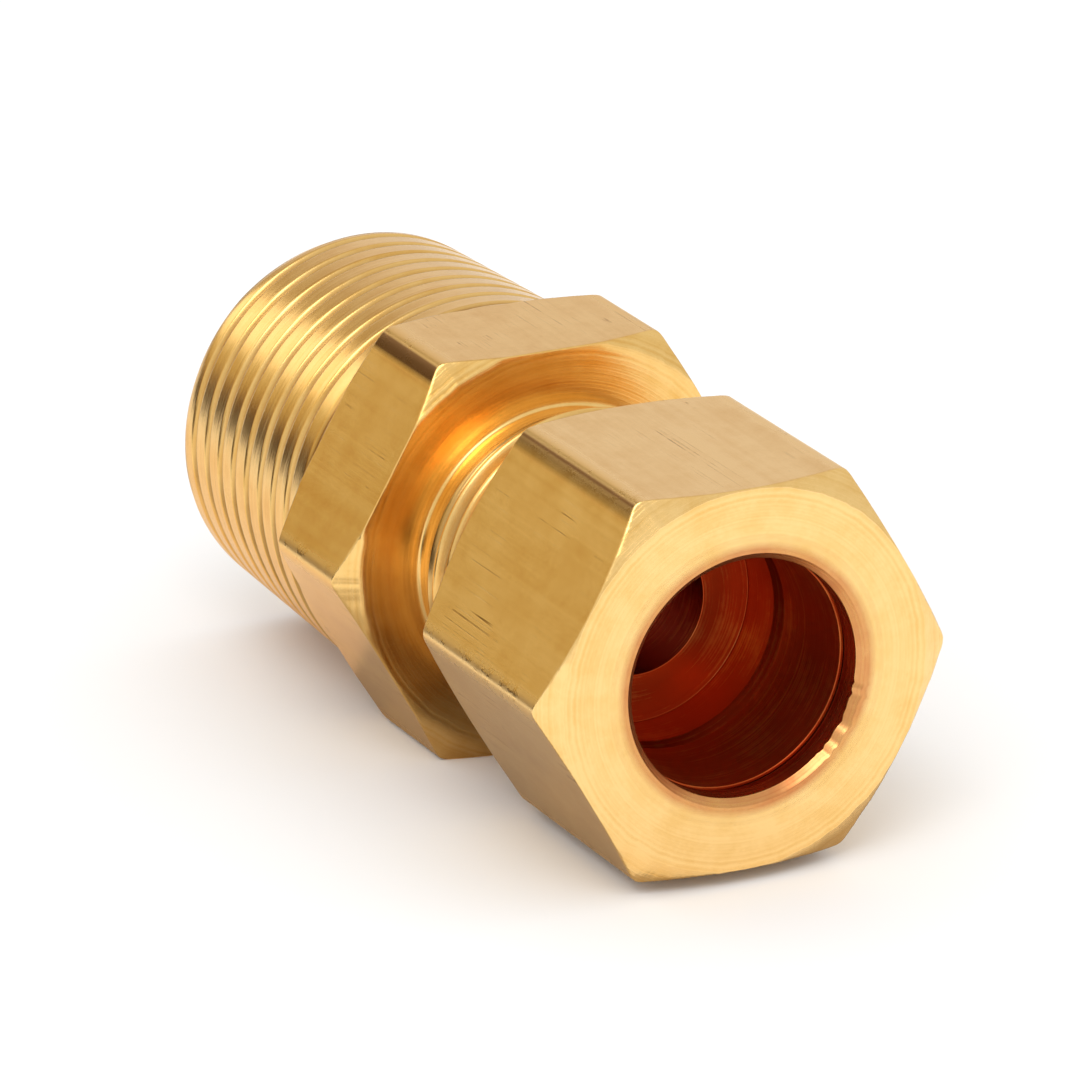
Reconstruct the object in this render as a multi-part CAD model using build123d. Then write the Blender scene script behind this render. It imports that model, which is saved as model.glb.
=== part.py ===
from build123d import *
import math
import os

# Tube compression fitting with a male taper pipe thread, in machined brass.
# Three pieces: the connector body, the compression nut and the sleeve between them.
# The axis of the fitting is X and the tube enters from +X. The tube stop, at the
# bottom of the socket in the body, is at x = 0. Both hexagons have a flat down, so
# +Z is up as the fitting lies on a bench. All sizes are in millimetres.

# Tube and waterway
TUBE_DIAMETER = 12.7
SOCKET_CLEARANCE = 0.05          # radial, tube to socket wall
SLEEVE_CLEARANCE = 0.05          # radial, tube to sleeve
NUT_HOLE_CLEARANCE = 0.07        # radial, tube to nut hole
SOCKET_DEPTH = 4.4               # mouth of the socket to the tube stop
WATERWAY_DIAMETER = 7.5
WATERWAY_CHAMFER = 0.4

# Conical seats on both sides of the sleeve
SEAT_HALF_ANGLE = 27.5           # degrees from the axis
SEAT_MOUTH_WIDTH = 0.85          # radial, tube surface to the outer edge of the seat
SEAT_GAP = 0.05                  # radial gap left when the sleeve is home

# Straight thread that the nut runs on
NUT_THREAD_DIAMETER = 17.4
NUT_THREAD_PITCH = 1.27
NUT_THREAD_DEPTH = 0.78
THREAD_CREST_GAP = 0.12          # radial, crest to root of the other thread
THREAD_FLANK_GAP = 0.09          # axial, flank to flank
CREST_WIDTH = 0.16               # flat on top of the ridge
TURNS_LEFT = 0.5                 # turns of the nut left before the sleeve is home

# Taper pipe thread
PIPE_END_DIAMETER = 21.1         # over the crests at the open end
PIPE_TAPER = 1 / 16              # on diameter
PIPE_PITCH = 1.814
PIPE_THREAD_DEPTH = 0.65
PIPE_CREST_WIDTH = 1.0
PIPE_LENGTH = 16.5
PIPE_END_CHAMFER = 0.45
PIPE_PLAIN_LENGTH = 0.6          # plain length between the thread and the hexagon
PIPE_LEAD_IN = 0.7               # turns of the cutter's path in front of the open end

# Connector body
BODY_ACROSS_FLATS = 22.23
BODY_HEX_LENGTH = 8.0
NECK_LENGTH = 14.1               # socket mouth to the front face of the hexagon
NECK_RELIEF = 1.5                # plain neck between the last thread and the hexagon
NECK_CHAMFER = 0.7

# Compression nut
NUT_ACROSS_FLATS = 20.64
NUT_LENGTH = 14.3
NUT_LAND = 1.6                   # length of the tube hole before the inner cone
NUT_HOLE_CHAMFER = 0.4
NUT_THREAD_LENGTH = 8.2
NUT_ENTRY_CHAMFER = 0.95
NUT_LEAD_IN = 1.5                # turns of the cutter's path behind the nut

# Sleeve
SLEEVE_LENGTH = 6.1
SLEEVE_WALL = 1.29
SLEEVE_TIP_WALL = 0.2

# Both hexagons
HEX_CORNER_RADIUS = 0.8
HEX_CHAMFER_ANGLE = 30           # degrees from the end face
BODY_FACE_RATIO = 1.03           # diameter of the circle the chamfer starts from, by the flats
NUT_FACE_RATIO = 1.0

TAN30 = math.tan(math.radians(30))
COS30 = math.cos(math.radians(30))
SEAT_SLOPE = math.tan(math.radians(SEAT_HALF_ANGLE))

TUBE_RADIUS = TUBE_DIAMETER / 2
SOCKET_RADIUS = TUBE_RADIUS + SOCKET_CLEARANCE
SLEEVE_BORE_RADIUS = TUBE_RADIUS + SLEEVE_CLEARANCE
SLEEVE_TIP_RADIUS = SLEEVE_BORE_RADIUS + SLEEVE_TIP_WALL
SLEEVE_RADIUS = SLEEVE_BORE_RADIUS + SLEEVE_WALL
NUT_HOLE_RADIUS = TUBE_RADIUS + NUT_HOLE_CLEARANCE
SEAT_MOUTH_RADIUS = TUBE_RADIUS + SEAT_MOUTH_WIDTH

# Places along the axis, from the socket mouth back to the pipe thread
MOUTH_X = SOCKET_DEPTH
SEAT_BACK_X = MOUTH_X + (SOCKET_RADIUS - SEAT_MOUTH_RADIUS) / SEAT_SLOPE
HEX_FRONT_X = MOUTH_X - NECK_LENGTH
HEX_BACK_X = HEX_FRONT_X - BODY_HEX_LENGTH
PIPE_END_X = HEX_BACK_X - PIPE_LENGTH

# With the sleeve home, its rear bevel stands SEAT_GAP off the seat in the body.
# The nut still has TURNS_LEFT to go, so the sleeve is that far forward of home.
SLEEVE_HOME_X = MOUTH_X + (SLEEVE_TIP_RADIUS + SEAT_GAP - SEAT_MOUTH_RADIUS) / SEAT_SLOPE
SLEEVE_REAR_X = SLEEVE_HOME_X + TURNS_LEFT * NUT_THREAD_PITCH
SLEEVE_FRONT_X = SLEEVE_REAR_X + SLEEVE_LENGTH

# The cone in the nut stands SEAT_GAP off the front bevel of the sleeve.
CONE_FRONT_X = SLEEVE_FRONT_X + (SLEEVE_TIP_RADIUS + SEAT_GAP - NUT_HOLE_RADIUS) / SEAT_SLOPE
NUT_FRONT_X = CONE_FRONT_X + NUT_LAND
NUT_BACK_X = NUT_FRONT_X - NUT_LENGTH

# Radii of the straight thread, on the neck and in the nut
MALE_CREST_RADIUS = NUT_THREAD_DIAMETER / 2
MALE_ROOT_RADIUS = MALE_CREST_RADIUS - NUT_THREAD_DEPTH
FEMALE_CREST_RADIUS = MALE_ROOT_RADIUS + THREAD_CREST_GAP
FEMALE_ROOT_RADIUS = MALE_CREST_RADIUS + THREAD_CREST_GAP
RIDGE_OVERLAP = 0.1              # how far a ridge is sunk into its core
OVERCUT = 0.1                    # how far a cutter stands past the crest of a thread
ROOT_INTO_HEX = 1.0              # how far the turned ends are sunk into the hexagon


def turned(points):
    """Solid of revolution about X from points (x, radius)."""
    return revolve(make_face(Polyline(*points, close=True)), axis=Axis.X)


def hex_bar(across_flats, face_ratio, x_back, x_front):
    """Hexagonal bar with a flat down, rounded corners and turned end chamfers."""
    face_radius = face_ratio * across_flats / 2
    corner_radius = across_flats / 2 / COS30
    drop = (corner_radius - face_radius) * math.tan(math.radians(HEX_CHAMFER_ANGLE))
    hexagon = RegularPolygon(corner_radius, 6)
    hexagon = fillet(hexagon.vertices(), HEX_CORNER_RADIUS)
    bar = extrude(Plane.YZ.offset(x_back) * hexagon, amount=x_front - x_back)
    return bar & turned([
        (x_back, 0), (x_back, face_radius), (x_back + drop, corner_radius),
        (x_front - drop, corner_radius), (x_front, face_radius), (x_front, 0)])


def thread_form(x_start, length, pitch, sunk, sunk_width, top, top_width, taper=0.0):
    """Helical solid, right-handed about X, with a trapezoid section between two radii."""
    path = Helix(pitch, length, sunk, center=(x_start, 0, 0), direction=(1, 0, 0),
                 cone_angle=math.degrees(math.atan(taper / 2)))
    start = path @ 0
    radial = Vector(0, start.Y, start.Z).normalized()
    plane = Plane(origin=(x_start, 0, 0), x_dir=radial, z_dir=radial.cross(Vector(1, 0, 0)))
    (low, low_width), (high, high_width) = sorted([(sunk, sunk_width), (top, top_width)])
    section = plane * make_face(Polyline(
        (low, -low_width / 2), (high, -high_width / 2),
        (high, high_width / 2), (low, low_width / 2), close=True))
    return sweep(section, path=path, is_frenet=True)


def flank_width(top_width, height):
    """Width of a 60 degree form at a given height from its narrow side."""
    return top_width + 2 * height * TAN30


def neck():
    """Threaded neck of the body, from the hexagon to the socket mouth."""
    sunk = MALE_ROOT_RADIUS - RIDGE_OVERLAP
    ridge = thread_form(
        HEX_FRONT_X, NECK_LENGTH + NUT_THREAD_PITCH, NUT_THREAD_PITCH, sunk,
        flank_width(CREST_WIDTH, MALE_CREST_RADIUS - sunk), MALE_CREST_RADIUS, CREST_WIDTH)
    thread_back_x = HEX_FRONT_X + NECK_RELIEF
    envelope = turned([
        (thread_back_x, 0), (thread_back_x, MALE_ROOT_RADIUS),
        (thread_back_x + NUT_THREAD_DEPTH + OVERCUT, MALE_CREST_RADIUS + OVERCUT),
        (MOUTH_X - NECK_CHAMFER - OVERCUT, MALE_CREST_RADIUS + OVERCUT),
        (MOUTH_X, MALE_CREST_RADIUS - NECK_CHAMFER), (MOUTH_X, 0)])
    core = turned([(HEX_FRONT_X - ROOT_INTO_HEX, 0), (HEX_FRONT_X - ROOT_INTO_HEX, MALE_ROOT_RADIUS),
                   (MOUTH_X, MALE_ROOT_RADIUS), (MOUTH_X, 0)])
    return core + (ridge & envelope)


def pipe_thread():
    """Taper pipe thread on the back of the body."""
    slope = PIPE_TAPER / 2
    end_crest = PIPE_END_DIAMETER / 2
    hex_crest = end_crest + PIPE_LENGTH * slope
    blank = turned([
        (PIPE_END_X, 0), (PIPE_END_X, end_crest - PIPE_END_CHAMFER),
        (PIPE_END_X + PIPE_END_CHAMFER, end_crest + PIPE_END_CHAMFER * slope),
        (HEX_BACK_X, hex_crest), (HEX_BACK_X + ROOT_INTO_HEX, hex_crest),
        (HEX_BACK_X + ROOT_INTO_HEX, 0)])
    lead_in = PIPE_LEAD_IN * PIPE_PITCH
    root = end_crest - PIPE_THREAD_DEPTH - lead_in * slope
    root_width = PIPE_PITCH - PIPE_CREST_WIDTH - 2 * PIPE_THREAD_DEPTH * TAN30
    height = PIPE_THREAD_DEPTH + OVERCUT
    groove = thread_form(
        PIPE_END_X - lead_in, PIPE_LENGTH + lead_in - PIPE_PLAIN_LENGTH, PIPE_PITCH,
        root, root_width, root + height, flank_width(root_width, height), PIPE_TAPER)
    return blank - groove


def body_bore():
    """Socket for the tube with its conical mouth, the tube stop and the waterway."""
    waterway = WATERWAY_DIAMETER / 2
    return turned([
        (PIPE_END_X, 0), (PIPE_END_X, waterway + WATERWAY_CHAMFER),
        (PIPE_END_X + WATERWAY_CHAMFER, waterway), (0, waterway), (0, SOCKET_RADIUS),
        (SEAT_BACK_X, SOCKET_RADIUS), (MOUTH_X, SEAT_MOUTH_RADIUS), (MOUTH_X, 0)])


def connector_body():
    solid = hex_bar(BODY_ACROSS_FLATS, BODY_FACE_RATIO, HEX_BACK_X, HEX_FRONT_X)
    solid = solid + neck() + pipe_thread()
    return solid - body_bore()


def compression_nut():
    cavity_x = CONE_FRONT_X - (FEMALE_CREST_RADIUS - NUT_HOLE_RADIUS) / SEAT_SLOPE
    hole = turned([
        (NUT_FRONT_X, 0), (NUT_FRONT_X, NUT_HOLE_RADIUS + NUT_HOLE_CHAMFER),
        (NUT_FRONT_X - NUT_HOLE_CHAMFER, NUT_HOLE_RADIUS), (CONE_FRONT_X, NUT_HOLE_RADIUS),
        (cavity_x, FEMALE_CREST_RADIUS), (NUT_BACK_X + NUT_ENTRY_CHAMFER, FEMALE_CREST_RADIUS),
        (NUT_BACK_X, FEMALE_CREST_RADIUS + NUT_ENTRY_CHAMFER), (NUT_BACK_X, 0)])
    # The groove in the nut runs along the middle of the ridge on the neck.
    turns_to_nut = math.floor((NUT_BACK_X - HEX_FRONT_X) / NUT_THREAD_PITCH) - 1
    root_width = CREST_WIDTH + 2 * (THREAD_FLANK_GAP - THREAD_CREST_GAP * TAN30)
    mouth = FEMALE_CREST_RADIUS - OVERCUT
    groove = thread_form(
        HEX_FRONT_X + turns_to_nut * NUT_THREAD_PITCH,
        NUT_THREAD_LENGTH + NUT_LEAD_IN * NUT_THREAD_PITCH, NUT_THREAD_PITCH,
        mouth, flank_width(root_width, FEMALE_ROOT_RADIUS - mouth), FEMALE_ROOT_RADIUS, root_width)
    return hex_bar(NUT_ACROSS_FLATS, NUT_FACE_RATIO, NUT_BACK_X, NUT_FRONT_X) - hole - groove


def compression_sleeve():
    bevel = (SLEEVE_RADIUS - SLEEVE_TIP_RADIUS) / SEAT_SLOPE
    return turned([
        (SLEEVE_REAR_X, SLEEVE_BORE_RADIUS), (SLEEVE_REAR_X, SLEEVE_TIP_RADIUS),
        (SLEEVE_REAR_X + bevel, SLEEVE_RADIUS), (SLEEVE_FRONT_X - bevel, SLEEVE_RADIUS),
        (SLEEVE_FRONT_X, SLEEVE_TIP_RADIUS), (SLEEVE_FRONT_X, SLEEVE_BORE_RADIUS)])


def main():
    os.makedirs("parts", exist_ok=True)
    for piece in (connector_body, compression_nut, compression_sleeve):
        export_step(piece(), f"parts/{piece.__name__}.step")
    print("overall length at rest", round(NUT_FRONT_X - PIPE_END_X, 3))
    print("nut from", round(NUT_BACK_X, 3), "to", round(NUT_FRONT_X, 3))


main()
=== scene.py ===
import math

import bpy
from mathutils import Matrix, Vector


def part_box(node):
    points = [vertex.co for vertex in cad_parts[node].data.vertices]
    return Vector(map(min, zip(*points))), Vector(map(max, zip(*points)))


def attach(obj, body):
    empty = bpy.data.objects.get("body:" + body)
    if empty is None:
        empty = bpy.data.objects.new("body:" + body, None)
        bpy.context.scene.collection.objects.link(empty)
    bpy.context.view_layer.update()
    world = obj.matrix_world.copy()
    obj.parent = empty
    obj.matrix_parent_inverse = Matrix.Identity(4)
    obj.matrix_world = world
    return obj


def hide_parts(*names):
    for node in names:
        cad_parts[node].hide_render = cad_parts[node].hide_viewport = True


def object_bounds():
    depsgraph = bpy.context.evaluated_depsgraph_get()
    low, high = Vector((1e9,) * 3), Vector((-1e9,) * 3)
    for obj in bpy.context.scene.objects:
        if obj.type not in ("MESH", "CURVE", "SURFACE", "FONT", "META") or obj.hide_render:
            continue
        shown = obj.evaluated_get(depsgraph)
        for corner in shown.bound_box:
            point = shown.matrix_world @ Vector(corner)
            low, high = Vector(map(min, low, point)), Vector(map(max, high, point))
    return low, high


# A brass tube compression fitting: connector body, compression nut and sleeve.
# The axis is X, with the tube end at +X. Lengths are in metres.

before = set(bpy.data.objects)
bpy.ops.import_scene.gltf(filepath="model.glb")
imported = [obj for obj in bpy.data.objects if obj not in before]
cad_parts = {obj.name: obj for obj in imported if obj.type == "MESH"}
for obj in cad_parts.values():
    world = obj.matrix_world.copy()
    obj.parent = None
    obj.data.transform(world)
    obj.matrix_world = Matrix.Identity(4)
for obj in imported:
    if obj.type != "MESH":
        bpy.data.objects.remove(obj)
CAD_BOX = [list(corner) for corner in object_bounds()]

MM = 0.001
BIG = 1.0                                # metres: a limit that never acts

# Places and sizes from the CAD parts in model.glb
BODY_LOW, BODY_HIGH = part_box("connector_body")
NUT_LOW, NUT_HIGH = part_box("compression_nut")
SLEEVE_LOW, SLEEVE_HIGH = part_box("compression_sleeve")
PIPE_END_X, MOUTH_X = BODY_LOW.x, BODY_HIGH.x
NUT_BACK_X, NUT_FRONT_X = NUT_LOW.x, NUT_HIGH.x
BODY_HALF_FLATS = BODY_HIGH.z
NUT_HALF_FLATS = NUT_HIGH.z
SLEEVE_RADIUS = SLEEVE_HIGH.z

# Body
HEX_FRONT_X = MOUTH_X - 14.1 * MM
HEX_BACK_X = HEX_FRONT_X - 8.0 * MM
SOCKET_RADIUS = 6.4 * MM
SEAT_MOUTH_RADIUS = 7.2 * MM
SEAT_LENGTH = 1.537 * MM
WATERWAY_RADIUS = 3.75 * MM
WATERWAY_CHAMFER = 0.4 * MM
WATERWAY_RING = 1.2 * MM                 # where the end face's rows begin, out from the waterway
RELIEF_LENGTH = 1.5 * MM

# Pipe thread
PIPE_PITCH = 1.814 * MM
PIPE_DEPTH = 0.55 * MM
PIPE_CREST_WIDTH = 1.15 * MM
PIPE_END_RADIUS = 10.55 * MM
PIPE_SLOPE = 1 / 32                      # rise of the radius along the axis
PIPE_CHAMFER = 0.45 * MM
PIPE_WASHOUT = 1.6 * MM

# Nut thread, on the neck and in the nut
NUT_PITCH = 1.27 * MM
NUT_DEPTH = 0.78 * MM
NECK_CREST_RADIUS = 8.7 * MM
NECK_CREST_WIDTH = 0.16 * MM
NECK_CHAMFER = 0.7 * MM
CREST_GAP = 0.12 * MM
FLANK_GAP = 0.09 * MM
NUT_ROOT_RADIUS = NECK_CREST_RADIUS + CREST_GAP
NUT_CREST_RADIUS = NECK_CREST_RADIUS - NUT_DEPTH + CREST_GAP

# Nut
NUT_THREAD_LENGTH = 8.2 * MM
NUT_ENTRY_CHAMFER = 0.95 * MM
NUT_HOLE_RADIUS = 6.42 * MM
NUT_LAND = 1.6 * MM
NUT_HOLE_CHAMFER = 0.4 * MM
NUT_RING = 0.6 * MM                      # where the front face's rows begin, out from the chamfer
CONE_SLOPE = math.tan(math.radians(27.5))

# Sleeve
SLEEVE_BORE_RADIUS = 6.4 * MM
SLEEVE_TIP_WALL = 0.2 * MM

# Edges
TAN30 = math.tan(math.radians(30))
COS30 = math.cos(math.radians(30))
BODY_FACE_RADIUS = 1.03 * BODY_HALF_FLATS
NUT_FACE_RADIUS = 0.997 * NUT_HALF_FLATS
CORNER_BLEND = 0.054                     # rounding of the hexagon's corners, as a cosine
EDGE_BLEND = 0.10 * MM                   # rounding where a chamfer meets a flat
BREAK_EDGE = 0.08 * MM                   # radius left on a turned edge
HEX_BREAK = 0.07 * MM                    # radius left where a face meets a flat
PAST_CORNER = 0.6 * MM                   # how far rows stand past the corners before the cut
STEPS_PER_SIDE = 48                      # mesh steps around one sixth of a turn
BURR_SCALE = 9.0                         # waves of the chamfers' uneven edges, by the radius
BURR_HEIGHT = 0.30 * MM
KNOCK_SCALE = 22.0
KNOCK_DEPTH = 0.32 * MM
KNOCK_TURN, KNOCK_SPREAD = 0.915, 0.07   # middle and half width of the knocked part, in turns
SHADE_BAND_TURN, SHADE_BAND_SPREAD = 0.340, 0.008  # painted shade: a dark reflected band along one ridge, in turns
RIDGE_SHARE = 0.14                       # worn part beside a corner, as a share of half a flat
FLAT_FADE = 0.12 * MM                    # how far past the chamfer's edge a flat counts as flat
WELD = 0.002 * MM


# ---------------------------------------------------------------- node helpers

class Field:
    """A value in a node tree, on which ordinary arithmetic makes Math nodes."""

    def __init__(self, tree, socket):
        self.tree = tree
        self.socket = socket

    def math(self, operation, *others, clamp=False):
        node = self.tree.nodes.new("ShaderNodeMath")
        node.operation = operation
        node.use_clamp = clamp
        for slot, value in zip(node.inputs, (self, *others)):
            put(self.tree, slot, value)
        return Field(self.tree, node.outputs[0])

    def clamped(self):
        return self.math("MULTIPLY", 1.0, clamp=True)

    def __add__(self, other):
        return self.math("ADD", other)

    def __sub__(self, other):
        return self.math("SUBTRACT", other)

    def __mul__(self, other):
        return self.math("MULTIPLY", other)

    def __truediv__(self, other):
        return self.math("DIVIDE", other)


def put(tree, slot, value):
    """Links a field, or sets a plain value, on an input socket."""
    if isinstance(value, Field):
        tree.links.new(value.socket, slot)
    elif isinstance(value, bpy.types.NodeSocket):
        tree.links.new(value, slot)
    else:
        slot.default_value = value


def add_node(tree, kind, inputs=(), **settings):
    """A node with its settings made and its inputs filled by name or number."""
    node = tree.nodes.new(kind)
    for name, value in settings.items():
        setattr(node, name, value)
    for name, value in dict(inputs).items():
        put(tree, node.inputs[name], value)
    return node


def add_inputs(tree, names):
    """Float inputs on a group, and the fields that they give inside it."""
    for name in names:
        tree.interface.new_socket(name, in_out="INPUT", socket_type="NodeSocketFloat")
    source = tree.nodes.new("NodeGroupInput")
    return {name: Field(tree, source.outputs[name]) for name in names}


# ------------------------------------------------------- geometry: the threads

THREAD_SIZES = ("Pitch", "Start", "Low", "High", "Top radius", "Taper", "Depth", "Top width",
                "Flank", "Washout", "Low ceiling", "High ceiling", "Low floor")


def make_thread_group():
    """Group that turns a row's place and a turn into a point on a right-handed thread."""
    tree = bpy.data.node_groups.new("screw_thread", "GeometryNodeTree")
    size = add_inputs(tree, ("Row X", "Turn") + THREAD_SIZES)
    for name in ("X", "Radius", "Hollow"):
        tree.interface.new_socket(name, in_out="OUTPUT", socket_type="NodeSocketFloat")
    run = size["Row X"] + size["Pitch"] * size["Turn"]
    x = run.math("MAXIMUM", size["Low"]).math("MINIMUM", size["High"])
    turns = (x - size["Start"]) / size["Pitch"] - size["Turn"]
    away = ((turns + 0.5).math("FRACT") - 0.5).math("ABSOLUTE") * size["Pitch"]
    fall = (away - size["Top width"] * 0.5) / size["Flank"]
    groove = fall.math("SMOOTH_MIN", 1.0, 0.1).math("SMOOTH_MAX", 0.0, 0.1)
    left = (size["High"] - x) / size["Washout"]
    depth = size["Depth"] * left.math("MINIMUM", 1.0)
    radius = size["Top radius"] + size["Taper"] * (x - size["Low"]) - groove * depth
    radius = radius.math("MINIMUM", size["Low ceiling"] + (x - size["Low"]))
    radius = radius.math("MINIMUM", size["High ceiling"] + (size["High"] - x))
    radius = radius.math("MAXIMUM", size["Low floor"] - (x - size["Low"]))
    add_node(tree, "NodeGroupOutput", {"X": x, "Radius": radius, "Hollow": groove})
    return tree


def thread_rows(thread, marks):
    """Row places for a thread: marks are distances from a crest's middle, over one pitch."""
    first = math.floor((thread["Low"] - thread["Start"]) / thread["Pitch"]) - 1
    last = math.ceil((thread["High"] - thread["Start"]) / thread["Pitch"]) + 1
    steps = sorted({round(m * side, 9) for m in marks for side in (-1, 1)})
    return [thread["Start"] + turn * thread["Pitch"] + step
            for turn in range(first, last) for step in steps]


def thread_marks(thread):
    """Where a thread's section needs rows: both ends of the flank, and between."""
    top = thread["Top width"] / 2
    flank = thread["Flank"]
    root = thread["Pitch"] / 2
    near = [0.35 * top, 0.84 * top, top - 0.08 * flank, top + 0.12 * flank, top + 0.3 * flank]
    far = [top + 0.7 * flank, top + 0.88 * flank, top + flank]
    return [m for m in near + far if m < root] + [root - 0.01 * thread["Pitch"]]


# ------------------------------------------------------ geometry: the profiles

class Profile:
    """The rows of a turned piece: a closed outline in x and radius."""

    def __init__(self):
        self.rows = []                   # x, radius, hexed, thread number, inside, inset, rim
        self.hexed = 0.0
        self.inside = 0.0
        self.rim = 0.0

    def at(self, x, radius):
        self.rows.append((x, radius, self.hexed, 0, self.inside, 0.0, self.rim))

    def line(self, x, radius, steps=1):
        """Straight rows from the last point to this one."""
        x0, radius0 = self.rows[-1][:2]
        for i in range(1, steps + 1):
            share = i / steps
            self.at(x0 + (x - x0) * share, radius0 + (radius - radius0) * share)

    def corners(self, points, radius=BREAK_EDGE):
        """Straight lines through points, with a small arc broken on every corner between."""
        path = [Vector(self.rows[-1][:2])] + [Vector(p) for p in points]
        for before, corner, after in zip(path, path[1:], path[2:]):
            into = (corner - before).normalized()
            out = (after - corner).normalized()
            half = math.acos(max(-1.0, min(1.0, into.dot(out)))) / 2
            short = min((corner - before).length, (after - corner).length)
            cut = min(radius * math.tan(half), 0.4 * short)
            self.at(*(corner - into * cut * 1.5))
            for i in range(5):
                share = i / 4
                start = corner - into * cut
                end = corner + out * cut
                middle = start.lerp(corner, share).lerp(corner.lerp(end, share), share)
                self.at(*middle)
            self.at(*(corner + out * cut * 1.5))
        self.at(*path[-1])

    def thread(self, number, thread):
        for x in thread_rows(thread, thread_marks(thread)):
            self.rows.append((x, thread["Top radius"], 0.0, number, self.inside, 0.0, 0.0))

    def hexagon(self, x_from, x_to, half_flats, face):
        """Rows over the outside of a hexagon, from one turned face to the other."""
        corner = half_flats / COS30
        drop = (corner - face) * TAN30
        way = 1 if x_to > x_from else -1
        self.hexed = 1.0
        half = []
        for below in (0.5, 0.2, 0.11, 0.08):
            half.append((0.0, half_flats - below * MM, 0.0))
        for i in range(5):
            bend = math.radians(90 * i / 4)
            rise = HEX_BREAK * (1 - math.cos(bend))
            half.append((rise, face + rise / TAN30, HEX_BREAK * (1 - math.sin(bend))))
        for i in range(1, 25):
            depth = HEX_BREAK + (drop * 1.06 - HEX_BREAK) * i / 24
            half.append((depth, face + depth / TAN30, 0.0))
        half.append((drop + 0.5 * MM, corner + PAST_CORNER, 0.0))
        for depth, radius, inset in half:
            self.rows.append((x_from + way * depth, radius, 1.0, 0, 0.0, inset, 0.0))
        middle = x_from + (x_to - x_from) / 2
        self.at(middle, corner + PAST_CORNER)
        for depth, radius, inset in reversed(half):
            self.rows.append((x_to - way * depth, radius, 1.0, 0, 0.0, inset, 0.0))
        self.hexed = 0.0

    def mesh(self, name):
        """A line of points that carries each row's values as attributes."""
        mesh = bpy.data.meshes.new(name)
        mesh.from_pydata([(row[0], 0.0, row[1]) for row in self.rows], [], [])
        along = 0.0
        lengths = []
        for i, row in enumerate(self.rows):
            if i:
                along += math.dist(row[:2], self.rows[i - 1][:2])
            lengths.append(along)
        columns = {
            "row_x": [row[0] for row in self.rows],
            "row_radius": [row[1] for row in self.rows],
            "row_hexed": [row[2] for row in self.rows],
            "row_thread": [float(row[3]) for row in self.rows],
            "row_inside": [row[4] for row in self.rows],
            "row_inset": [row[5] for row in self.rows],
            "row_rim": [row[6] for row in self.rows],
            "row_along": lengths,
        }
        for column, values in columns.items():
            mesh.attributes.new(column, "FLOAT", "POINT").data.foreach_set("value", values)
        return mesh


# --------------------------------------------------- geometry: a turned piece

def sample_rows(tree, geometry, row, column):
    """The value of one column of the profile at a row's number."""
    named = add_node(tree, "GeometryNodeInputNamedAttribute", {"Name": column}, data_type="FLOAT")
    sample = add_node(tree, "GeometryNodeSampleIndex",
                      {"Geometry": geometry, "Value": named.outputs[0], "Index": row},
                      data_type="FLOAT", domain="POINT")
    return Field(tree, sample.outputs[0])


def ring_noise(tree, around, scale):
    """Noise that closes on itself around the axis."""
    node = add_node(tree, "ShaderNodeTexNoise",
                    {"Vector": around, "Scale": scale, "Detail": 3.0, "Roughness": 0.6})
    return Field(tree, node.outputs[0])


def store(tree, geometry, name, value):
    node = add_node(tree, "GeometryNodeStoreNamedAttribute",
                    {"Geometry": geometry, "Name": name, "Value": value},
                    data_type="FLOAT", domain="POINT")
    return node.outputs["Geometry"]


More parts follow.
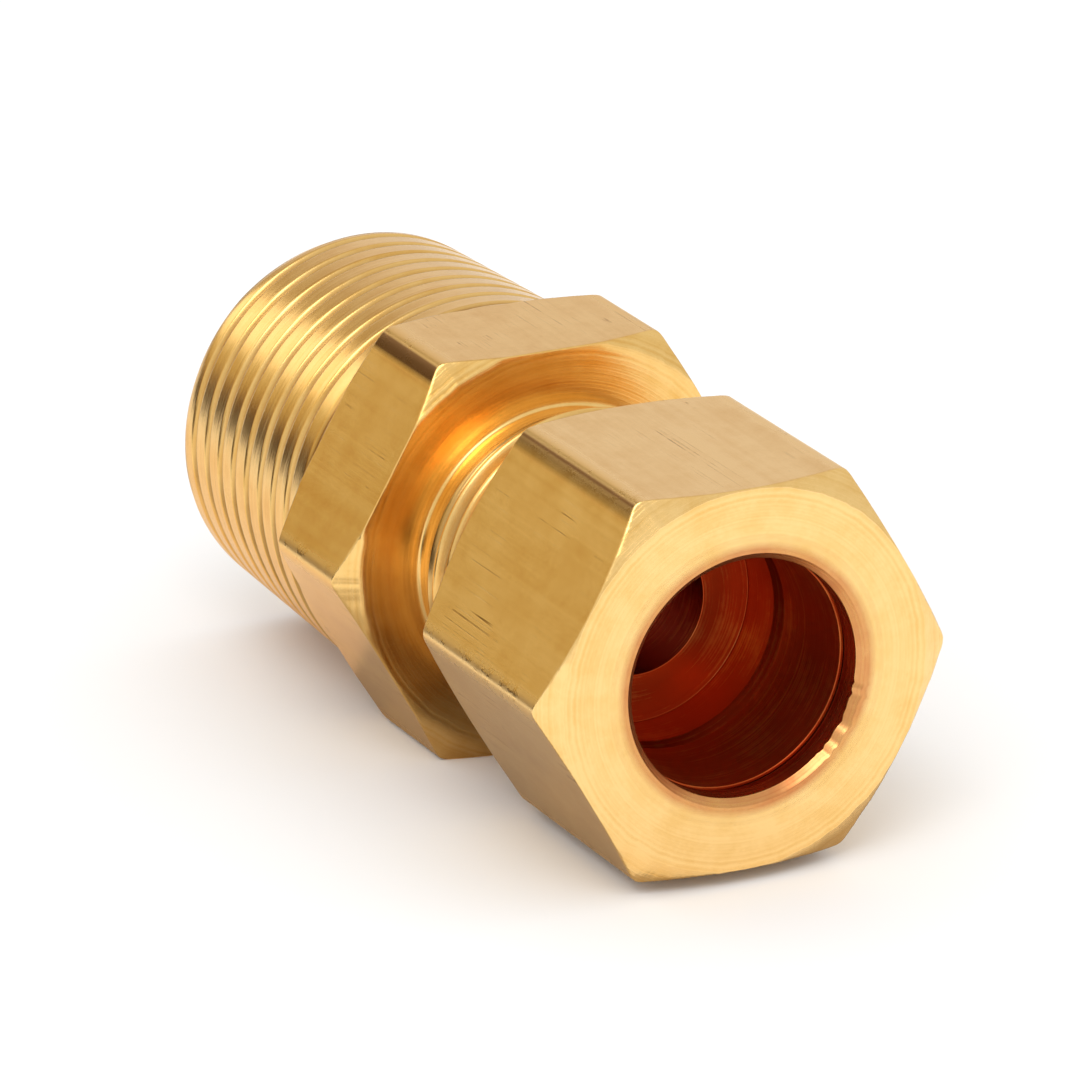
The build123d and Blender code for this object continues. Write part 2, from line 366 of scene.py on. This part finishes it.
def make_piece_tree(name, rows, half_flats, threads, thread_group, material):
    """Tree that spins the rows about X, cuts the hexagon and runs the threads."""
    tree = bpy.data.node_groups.new(name, "GeometryNodeTree")
    tree.interface.new_socket("Geometry", in_out="INPUT", socket_type="NodeSocketGeometry")
    tree.interface.new_socket("Geometry", in_out="OUTPUT", socket_type="NodeSocketGeometry")
    given = add_inputs(tree, ("Half flats", "Corner blend", "Edge blend", "Weld"))
    profile = tree.nodes["Group Input"].outputs["Geometry"]
    across = STEPS_PER_SIDE * 6 + 1
    grid = add_node(tree, "GeometryNodeMeshGrid", {"Vertices X": rows, "Vertices Y": across})
    index = Field(tree, add_node(tree, "GeometryNodeInputIndex").outputs[0])
    row = (index / across).math("FLOOR")
    step = index - row * across
    column = {key: sample_rows(tree, profile, row, "row_" + key)
              for key in ("x", "radius", "hexed", "thread", "inside", "inset", "rim", "along")}

    # Angles are closer together near the six corners than along the flats.
    side = (step / STEPS_PER_SIDE + 0.5).math("FLOOR")
    near = (step / STEPS_PER_SIDE - side) * 2.0
    eased = near * 0.22 + near * near * near * 0.78
    turn = (side + eased * 0.5) / 6.0
    angle = turn * (2 * math.pi)
    from_corner = eased * (math.pi / 6)

    # Uneven edges: burrs where the chamfer was cut, and knocks on the rim of the hole
    around = add_node(tree, "ShaderNodeCombineXYZ",
                      {"X": angle.math("COSINE"), "Y": angle.math("SINE")}).outputs[0]
    burr = (ring_noise(tree, around, BURR_SCALE) - 0.5) * BURR_HEIGHT * column["hexed"]
    spot = (turn - KNOCK_TURN).math("ABSOLUTE") / KNOCK_SPREAD * -1.0 + 1.0
    knock = (ring_noise(tree, around, KNOCK_SCALE) - 0.47) * 9.0
    knock = knock.clamped() * spot.math("MAXIMUM", 0.0)
    turned = column["radius"] + burr + knock * KNOCK_DEPTH * column["rim"]

    # Distance to the hexagon's outline, with rounded corners
    toward = (from_corner * -1.0 + math.pi / 6).math("COSINE")
    other = (from_corner + math.pi / 6).math("COSINE")
    outline = given["Half flats"] / toward.math("SMOOTH_MAX", other, given["Corner blend"])
    outline = outline - column["inset"]
    cut = turned.math("SMOOTH_MIN", outline, given["Edge blend"])
    radius = turned + (cut - turned) * column["hexed"]
    x = column["x"]
    hollow = column["inset"] * 0.0
    along = column["along"]
    for number, thread in enumerate(threads, 1):
        node = add_node(tree, "GeometryNodeGroup", node_tree=thread_group)
        put(tree, node.inputs["Row X"], column["x"])
        put(tree, node.inputs["Turn"], turn)
        for key, value in thread.items():
            put(tree, node.inputs[key], value)
        here = column["thread"].math("COMPARE", float(number), 0.5)
        x = x + (Field(tree, node.outputs["X"]) - x) * here
        radius = radius + (Field(tree, node.outputs["Radius"]) - radius) * here
        hollow = hollow + Field(tree, node.outputs["Hollow"]) * here
        along = along + turn * thread["Pitch"] * here

    place = add_node(tree, "ShaderNodeCombineXYZ",
                     {"X": x, "Y": radius * angle.math("COSINE"), "Z": radius * angle.math("SINE")})
    moved = add_node(tree, "GeometryNodeSetPosition",
                     {"Geometry": grid.outputs["Mesh"], "Position": place.outputs[0]})
    over = (turned - outline) / FLAT_FADE
    flat = (column["hexed"] * over).math("MAXIMUM", 0.0).math("MINIMUM", 1.0)
    ridge = ((eased.math("ABSOLUTE") * -1.0 + RIDGE_SHARE) * 12.0).clamped() * flat
    # Painted shade: a dark reflected band along one ridge of the flats
    shade_band = ((turn - SHADE_BAND_TURN).math("ABSOLUTE") / SHADE_BAND_SPREAD * -1.7 + 1.7).clamped() * flat
    shape = store(tree, moved.outputs[0], "flat", flat)
    shape = store(tree, shape, "ridge", ridge)
    shape = store(tree, shape, "shade_band", shade_band)
    shape = store(tree, shape, "hollow", hollow)
    shape = store(tree, shape, "inside", column["inside"])
    shape = store(tree, shape, "along", along)
    welded = add_node(tree, "GeometryNodeMergeByDistance",
                      {"Geometry": shape, "Distance": given["Weld"]})
    real = add_node(tree, "GeometryNodeRealizeInstances", {"Geometry": welded.outputs[0]})
    coated = add_node(tree, "GeometryNodeSetMaterial",
                      {"Geometry": real.outputs[0], "Material": material})
    add_node(tree, "NodeGroupOutput", {"Geometry": coated.outputs[0]})
    return tree


def set_inputs(modifier, values):
    """Sets a modifier's inputs by the identifiers of their sockets."""
    for item in modifier.node_group.interface.items_tree:
        if item.name in values and item.in_out == "INPUT":
            modifier[item.identifier] = values[item.name]


def make_piece(name, profile, half_flats, threads, thread_group, material):
    """Makes a piece from its profile, as one plain closed mesh."""
    tree = make_piece_tree(name, len(profile.rows), half_flats, threads, thread_group, material)
    source = bpy.data.objects.new(name + "_profile", profile.mesh(name + "_profile"))
    bpy.context.scene.collection.objects.link(source)
    modifier = source.modifiers.new("Shape", "NODES")
    modifier.node_group = tree
    set_inputs(modifier, {"Half flats": half_flats, "Corner blend": CORNER_BLEND,
                          "Edge blend": EDGE_BLEND, "Weld": WELD})
    bpy.context.view_layer.update()
    evaluated = source.evaluated_get(bpy.context.evaluated_depsgraph_get())
    mesh = bpy.data.meshes.new_from_object(evaluated)
    mesh.name = name
    source.modifiers.remove(modifier)
    bpy.data.objects.remove(source)
    make_outward(mesh)
    mesh.shade_smooth()
    piece = bpy.data.objects.new(name, mesh)
    bpy.context.scene.collection.objects.link(piece)
    return piece


def make_outward(mesh):
    """Turns the faces round if they point inwards, by the sign of the enclosed volume."""
    mesh.calc_loop_triangles()
    volume = 0.0
    for triangle in mesh.loop_triangles:
        a, b, c = (mesh.vertices[i].co for i in triangle.vertices)
        volume += a.dot(b.cross(c))
    if volume < 0:
        mesh.flip_normals()


# --------------------------------------------------------------- the profiles

def body_threads():
    pipe = {
        "Pitch": PIPE_PITCH, "Start": PIPE_END_X, "Low": PIPE_END_X, "High": HEX_BACK_X,
        "Top radius": PIPE_END_RADIUS, "Taper": PIPE_SLOPE, "Depth": PIPE_DEPTH,
        "Top width": PIPE_CREST_WIDTH, "Flank": PIPE_DEPTH * TAN30, "Washout": PIPE_WASHOUT,
        "Low ceiling": PIPE_END_RADIUS - PIPE_CHAMFER, "High ceiling": BIG, "Low floor": 0.0}
    root = NECK_CREST_RADIUS - NUT_DEPTH
    neck = {
        "Pitch": NUT_PITCH, "Start": HEX_FRONT_X, "Low": HEX_FRONT_X + RELIEF_LENGTH,
        "High": MOUTH_X, "Top radius": NECK_CREST_RADIUS, "Taper": 0.0, "Depth": NUT_DEPTH,
        "Top width": NECK_CREST_WIDTH, "Flank": NUT_DEPTH * TAN30, "Washout": 0.001 * MM,
        "Low ceiling": root, "High ceiling": NECK_CREST_RADIUS - NECK_CHAMFER, "Low floor": 0.0}
    return [pipe, neck]


def nut_threads():
    ridge = NECK_CREST_WIDTH - 2 * CREST_GAP * TAN30
    inner = {
        "Pitch": NUT_PITCH, "Start": HEX_FRONT_X, "Low": NUT_BACK_X,
        "High": NUT_BACK_X + NUT_THREAD_LENGTH, "Top radius": NUT_ROOT_RADIUS, "Taper": 0.0,
        "Depth": NUT_DEPTH, "Top width": ridge + 2 * FLANK_GAP, "Flank": NUT_DEPTH * TAN30,
        "Washout": 0.001 * MM, "Low ceiling": BIG, "High ceiling": NUT_CREST_RADIUS,
        "Low floor": NUT_CREST_RADIUS + NUT_ENTRY_CHAMFER}
    return [inner]


def body_profile(threads):
    pipe, neck = threads
    root = NECK_CREST_RADIUS - NUT_DEPTH
    profile = Profile()
    profile.at(PIPE_END_X, WATERWAY_RADIUS + WATERWAY_RING)
    profile.line(PIPE_END_X, PIPE_END_RADIUS - PIPE_DEPTH - 0.15 * MM, 6)
    profile.thread(1, pipe)
    profile.hexagon(HEX_BACK_X, HEX_FRONT_X, BODY_HALF_FLATS, BODY_FACE_RADIUS)
    profile.line(HEX_FRONT_X, root + 1.2 * MM, 4)
    profile.corners([(HEX_FRONT_X, root), (HEX_FRONT_X + 0.8 * MM, root)], 0.3 * MM)
    profile.at(neck["Low"], root)
    profile.thread(2, neck)
    profile.at(MOUTH_X, root - 0.1 * MM)
    profile.inside = 1.0
    profile.corners([
        (MOUTH_X, SEAT_MOUTH_RADIUS), (MOUTH_X - SEAT_LENGTH, SOCKET_RADIUS), (0.0, SOCKET_RADIUS),
        (0.0, WATERWAY_RADIUS), (-2 * MM, WATERWAY_RADIUS)], 0.06 * MM)
    profile.line(PIPE_END_X + 1.5 * MM, WATERWAY_RADIUS, 10)
    profile.corners([
        (PIPE_END_X + WATERWAY_CHAMFER, WATERWAY_RADIUS),
        (PIPE_END_X, WATERWAY_RADIUS + WATERWAY_CHAMFER),
        (PIPE_END_X, WATERWAY_RADIUS + WATERWAY_RING / 2)], 0.05 * MM)
    profile.inside = 0.0
    profile.at(PIPE_END_X, WATERWAY_RADIUS + 0.7 * MM)
    profile.at(PIPE_END_X, WATERWAY_RADIUS + WATERWAY_RING)
    return profile


def nut_profile(threads):
    inner = threads[0]
    cone_front_x = NUT_FRONT_X - NUT_LAND
    cavity_x = cone_front_x - (NUT_CREST_RADIUS - NUT_HOLE_RADIUS) / CONE_SLOPE
    profile = Profile()
    profile.at(NUT_FRONT_X, NUT_HOLE_RADIUS + NUT_HOLE_CHAMFER + NUT_RING)
    profile.line(NUT_FRONT_X, NUT_HALF_FLATS - 0.8 * MM, 5)
    profile.hexagon(NUT_FRONT_X, NUT_BACK_X, NUT_HALF_FLATS, NUT_FACE_RADIUS)
    profile.line(NUT_BACK_X, NUT_ROOT_RADIUS + 0.2 * MM, 2)
    profile.thread(1, inner)
    profile.inside = 1.0
    profile.at(inner["High"], NUT_CREST_RADIUS)
    profile.corners([
        (cavity_x, NUT_CREST_RADIUS), (cone_front_x, NUT_HOLE_RADIUS),
        (cone_front_x + 0.1 * MM, NUT_HOLE_RADIUS)], 0.04 * MM)
    profile.at(cone_front_x + 0.3 * MM, NUT_HOLE_RADIUS)
    profile.inside = 0.55
    profile.at(cone_front_x + 0.35 * MM, NUT_HOLE_RADIUS)
    profile.at(NUT_FRONT_X - 2 * NUT_HOLE_CHAMFER, NUT_HOLE_RADIUS)
    profile.rim = 1.0
    profile.corners([
        (NUT_FRONT_X - NUT_HOLE_CHAMFER, NUT_HOLE_RADIUS),
        (NUT_FRONT_X, NUT_HOLE_RADIUS + NUT_HOLE_CHAMFER),
        (NUT_FRONT_X, NUT_HOLE_RADIUS + NUT_HOLE_CHAMFER + 0.15 * MM)])
    profile.rim = profile.inside = 0.0
    profile.at(NUT_FRONT_X, NUT_HOLE_RADIUS + NUT_HOLE_CHAMFER + NUT_RING)
    return profile


def sleeve_profile():
    tip = SLEEVE_BORE_RADIUS + SLEEVE_TIP_WALL
    bevel = (SLEEVE_RADIUS - tip) / CONE_SLOPE
    middle = (SLEEVE_LOW.x + SLEEVE_HIGH.x) / 2
    profile = Profile()
    profile.inside = 1.0
    profile.at(middle, SLEEVE_BORE_RADIUS)
    profile.corners([
        (SLEEVE_LOW.x, SLEEVE_BORE_RADIUS), (SLEEVE_LOW.x, tip),
        (SLEEVE_LOW.x + bevel, SLEEVE_RADIUS), (SLEEVE_HIGH.x - bevel, SLEEVE_RADIUS),
        (SLEEVE_HIGH.x, tip), (SLEEVE_HIGH.x, SLEEVE_BORE_RADIUS),
        (middle, SLEEVE_BORE_RADIUS)])
    return profile


# -------------------------------------------------------------- the materials

GROOVE_SHADE = (0.34, 0.15, 0.04)             # painted shade: brass darkened in the bottom of a thread
BORE_SHADE = (0.50, 0.088, 0.02)               # painted shade: brass darkened inside the bore
SCRATCH_AND_SHADE = (0.16, 0.07, 0.015)               # painted shade of a dark reflected band along one ridge, and the colour of real scratches
BUMP_HEIGHT = 0.014 * MM


def make_brass(name, pale, deep, rough):
    """Bright machined brass: turned rings, drawn lines on the flats, blotches and wear."""
    material = bpy.data.materials.new(name)
    material.use_nodes = True
    tree = material.node_tree
    shader = tree.nodes["Principled BSDF"]
    shader.inputs["Metallic"].default_value = 1.0

    def attribute(key):
        return Field(tree, add_node(tree, "ShaderNodeAttribute", attribute_name=key).outputs["Fac"])

    def noise(vector, scale, detail=4.0, roughness=0.6):
        node = add_node(tree, "ShaderNodeTexNoise", {"Vector": vector, "Scale": scale,
                                                     "Detail": detail, "Roughness": roughness})
        return Field(tree, node.outputs["Fac"])

    def rings(scale, detail):
        node = add_node(tree, "ShaderNodeTexNoise", {"W": attribute("along"), "Scale": scale,
                                                     "Detail": detail, "Roughness": 0.65},
                        noise_dimensions="1D")
        return Field(tree, node.outputs["Fac"])

    def mix(share, first, second):
        node = add_node(tree, "ShaderNodeMix", {0: share}, data_type="RGBA")
        for slot, value in ((node.inputs[6], first), (node.inputs[7], second)):
            put(tree, slot, value if isinstance(value, bpy.types.NodeSocket) else (*value, 1.0))
        return node.outputs[2]

    place = add_node(tree, "ShaderNodeTexCoord").outputs["Object"]
    drawn_way = add_node(tree, "ShaderNodeMapping", {"Vector": place})
    drawn_way.inputs["Scale"].default_value = (0.012, 1.0, 1.0)
    scratch_way = add_node(tree, "ShaderNodeMapping", {"Vector": place})
    scratch_way.inputs["Scale"].default_value = (0.006, 1.0, 1.0)
    flat = attribute("flat")
    inside = attribute("inside")
    ridge = attribute("ridge")
    shade_band = attribute("shade_band")
    hollow = attribute("hollow")
    turned_part = flat * -1.0 + 1.0
    blotch = noise(place, 260.0, 5.0, 0.65)
    patch = noise(place, 800.0, 3.0, 0.6)
    speckle = noise(place, 6000.0, 3.0, 0.6)
    drawn = noise(drawn_way.outputs[0], 4500.0, 3.0, 0.6)
    coarse = noise(drawn_way.outputs[0], 900.0, 3.0, 0.55)
    scratch = noise(scratch_way.outputs[0], 1500.0, 2.0, 0.5)
    scratch = ((scratch - 0.5).math("ABSOLUTE") * -110.0 + 1.0).math("MAXIMUM", 0.0)
    scratch = scratch * ((blotch - 0.53) * 9.0).clamped() * flat
    turned = rings(6000.0, 3.0) * 0.5 + rings(1500.0, 2.0) * 0.5
    drawn = drawn * 0.35 + coarse * 0.65
    lines = turned + (drawn - turned) * flat
    worn = ridge * ((speckle * 0.6 + patch - 0.62) * 6.0).clamped()

    height = lines * (turned_part * 0.9 + 0.7) + speckle * 0.22 + patch * 0.5
    height = height - scratch * 0.5 - worn * 0.7
    bump = add_node(tree, "ShaderNodeBump", {"Height": height, "Strength": 0.55,
                                             "Distance": BUMP_HEIGHT})
    tree.links.new(bump.outputs[0], shader.inputs["Normal"])
    tone = blotch * 0.7 + lines * 0.9 + patch * 0.45 + speckle * 0.25 - 0.68
    tone = (tone + worn * 0.5 - scratch).math("MULTIPLY", 1.7, clamp=True)
    colour = mix(tone, deep, pale)
    # Painted shade in the bottoms of the threads, by the depth of the groove
    colour = mix((hollow * 0.95).clamped(), colour, GROOVE_SHADE)
    # Painted shade in blotches inside the bore
    colour = mix((inside * (blotch * 1.8 + lines * 1.8 - 0.75)).clamped(), colour, BORE_SHADE)
    # Painted shade: the dark reflected band along one ridge, streaked along the bar; the scratches
    # are real marks in the same dark colour
    painted_band = shade_band * (coarse * 2.2 - 0.15)
    colour = mix(painted_band.math("MAXIMUM", scratch * 0.75).clamped(), colour, SCRATCH_AND_SHADE)
    tree.links.new(colour, shader.inputs["Base Color"])
    roughness = blotch * 0.10 + lines * 0.12 + (rough - 0.11) + inside * 0.10 + worn * 0.12
    tree.links.new(roughness.math("MAXIMUM", 0.05).socket, shader.inputs["Roughness"])
    return material


# ------------------------------------------------------------------- building

THREAD_GROUP = make_thread_group()
BODY_BRASS = make_brass("body_brass", (0.97, 0.63, 0.23), (0.80, 0.43, 0.09), 0.24)
NUT_BRASS = make_brass("nut_brass", (1.0, 0.67, 0.27), (0.82, 0.46, 0.11), 0.23)
SLEEVE_BRASS = make_brass("sleeve_brass", (0.86, 0.50, 0.15), (0.74, 0.38, 0.08), 0.30)


def build():
    threads = body_threads()
    body = make_piece("body_shape", body_profile(threads), BODY_HALF_FLATS, threads,
                      THREAD_GROUP, BODY_BRASS)
    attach(body, "body")
    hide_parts("connector_body")

    threads = nut_threads()
    nut = make_piece("nut_shape", nut_profile(threads), NUT_HALF_FLATS, threads,
                     THREAD_GROUP, NUT_BRASS)
    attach(nut, "nut")
    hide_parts("compression_nut")

    sleeve = make_piece("sleeve_shape", sleeve_profile(), BIG, [], THREAD_GROUP, SLEEVE_BRASS)
    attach(sleeve, "sleeve")
    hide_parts("compression_sleeve")


# ---------------------------------------------------------------- the setting

AZIMUTH = math.radians(63.49)            # 0 looks along +Y, 90 looks along -X
ELEVATION = math.radians(19.91)
CAMERA_DISTANCE = 441.8 * MM
CAMERA_AIM = Vector((5.246, -8.340, 6.710)) * MM
LENS = 290.7                             # millimetres, on a 36 mm sensor


def make_camera():
    back = Vector((math.sin(AZIMUTH) * math.cos(ELEVATION),
                   -math.cos(AZIMUTH) * math.cos(ELEVATION), math.sin(ELEVATION)))
    camera = bpy.data.objects.new("camera", bpy.data.cameras.new("camera"))
    camera.data.lens = LENS
    camera.data.sensor_width = 36.0
    camera.data.clip_start = 0.01
    camera.location = CAMERA_AIM + back * CAMERA_DISTANCE
    camera.rotation_euler = back.to_track_quat("Z", "Y").to_euler()
    bpy.context.scene.collection.objects.link(camera)
    bpy.context.scene.camera = camera


def make_sheet(name, corners, colour):
    """A flat four-cornered sheet of the studio, which is no part of the fitting."""
    mesh = bpy.data.meshes.new(name)
    mesh.from_pydata(corners, [], [(0, 1, 2, 3)])
    sheet = bpy.data.objects.new(name, mesh)
    bpy.context.scene.collection.objects.link(sheet)
    material = bpy.data.materials.new(name + "_paint")
    material.use_nodes = True
    shader = material.node_tree.nodes["Principled BSDF"]
    shader.inputs["Base Color"].default_value = (*colour, 1.0)
    shader.inputs["Roughness"].default_value = 0.9
    shader.inputs["Specular IOR Level"].default_value = 0.1
    sheet.data.materials.append(material)
    return sheet


def make_studio(low):
    """White floor, and dark sheets that only the metal's reflections see."""
    half = 1.5
    make_sheet("floor", [(-half, -half, low), (half, -half, low), (half, half, low),
                         (-half, half, low)], (0.95, 0.95, 0.95))
    near, far = (0.03, -0.075), (-0.16, -0.05)
    flag_top = low + 0.016
    flag = make_sheet("flag", [(*near, low), (*far, low), (*far, flag_top), (*near, flag_top)],
                      (0.03, 0.02, 0.012))
    # Grey sheets on the floor under the fitting: painted shadow of the fitting, seen only in the
    # metal's reflections
    raised = low + 0.05 * MM
    shades = [make_sheet(name, [(back, -0.03, raised), (front, -0.03, raised),
                                (front, 0.02, raised), (back, 0.02, raised)], colour)
              for name, back, front, colour in (
                  ("shade_nut", -0.022, 0.012, (0.50, 0.46, 0.42)),
                  ("shade_thread", -0.08, -0.022, (0.85, 0.74, 0.62)))]
    for sheet in (flag, *shades):
        sheet.visible_camera = sheet.visible_diffuse = sheet.visible_shadow = False


def make_light(name, place, aim, size, power):
    lamp = bpy.data.lights.new(name, "AREA")
    lamp.shape = "RECTANGLE"
    lamp.size, lamp.size_y = size
    lamp.energy = power
    light = bpy.data.objects.new(name, lamp)
    light.location = place
    light.rotation_euler = (Vector(place) - aim).to_track_quat("Z", "Y").to_euler()
    bpy.context.scene.collection.objects.link(light)


# What the metal sees around it, as turns about the fitting's axis: 0 is behind on the
# right-hand side at floor level, 0.5 straight up, and 1 floor level on the left.
SURROUND = (
    (0.0, (0.72, 0.72, 0.74)), (0.24, (0.78, 0.74, 0.74)), (0.40, (0.62, 0.56, 0.50)),
    (0.50, (0.52, 0.45, 0.33)), (0.58, (0.46, 0.38, 0.24)), (0.615, (0.42, 0.34, 0.20)),
    (0.63, (1.55, 1.50, 1.35)), (0.80, (1.45, 1.38, 1.15)), (0.83, (0.58, 0.49, 0.27)),
    (0.92, (0.60, 0.48, 0.24)), (0.955, (0.16, 0.08, 0.03)), (1.0, (0.14, 0.07, 0.03)))


def make_world():
    """Even white light, with long strips of light and shade in the metal's reflections."""
    world = bpy.data.worlds.new("studio")
    bpy.context.scene.world = world
    world.use_nodes = True
    tree = world.node_tree
    view = add_node(tree, "ShaderNodeTexCoord").outputs["Generated"]
    split = add_node(tree, "ShaderNodeSeparateXYZ", {0: view})
    x, y, z = (Field(tree, split.outputs[i]) for i in range(3))
    around = ((y * -1.0).math("ARCTAN2", z) / math.pi + 0.5).math("MAXIMUM", 0.0)
    ramp = add_node(tree, "ShaderNodeValToRGB", {0: around.math("MINIMUM", 1.0)})
    strips = ramp.color_ramp
    while len(strips.elements) < len(SURROUND):
        strips.elements.new(1.0)
    for element, (place, colour) in zip(strips.elements, SURROUND):
        element.position = place
        element.color = (*colour, 1.0)
    front = (x + 0.45).math("MULTIPLY", 1.6, clamp=True)
    seen = add_node(tree, "ShaderNodeMix", {0: front, 6: ramp.outputs["Color"],
                                            7: (0.80, 0.80, 0.77, 1.0)}, data_type="RGBA")
    glossy = add_node(tree, "ShaderNodeLightPath").outputs["Is Glossy Ray"]
    chosen = add_node(tree, "ShaderNodeMix", {0: glossy, 6: (1.0, 1.0, 1.0, 1.0),
                                              7: seen.outputs[2]}, data_type="RGBA")
    tree.links.new(chosen.outputs[2], tree.nodes["Background"].inputs["Color"])


def make_setting():
    bpy.context.scene.view_settings.view_transform = "Standard"
    make_camera()
    make_studio(CAD_BOX[0][2])
    middle = (Vector(CAD_BOX[0]) + Vector(CAD_BOX[1])) / 2
    make_light("key", middle + Vector((0.35, -0.25, 0.5)), middle, (0.35, 0.35), 1.2)
    make_world()


make_setting()
build()
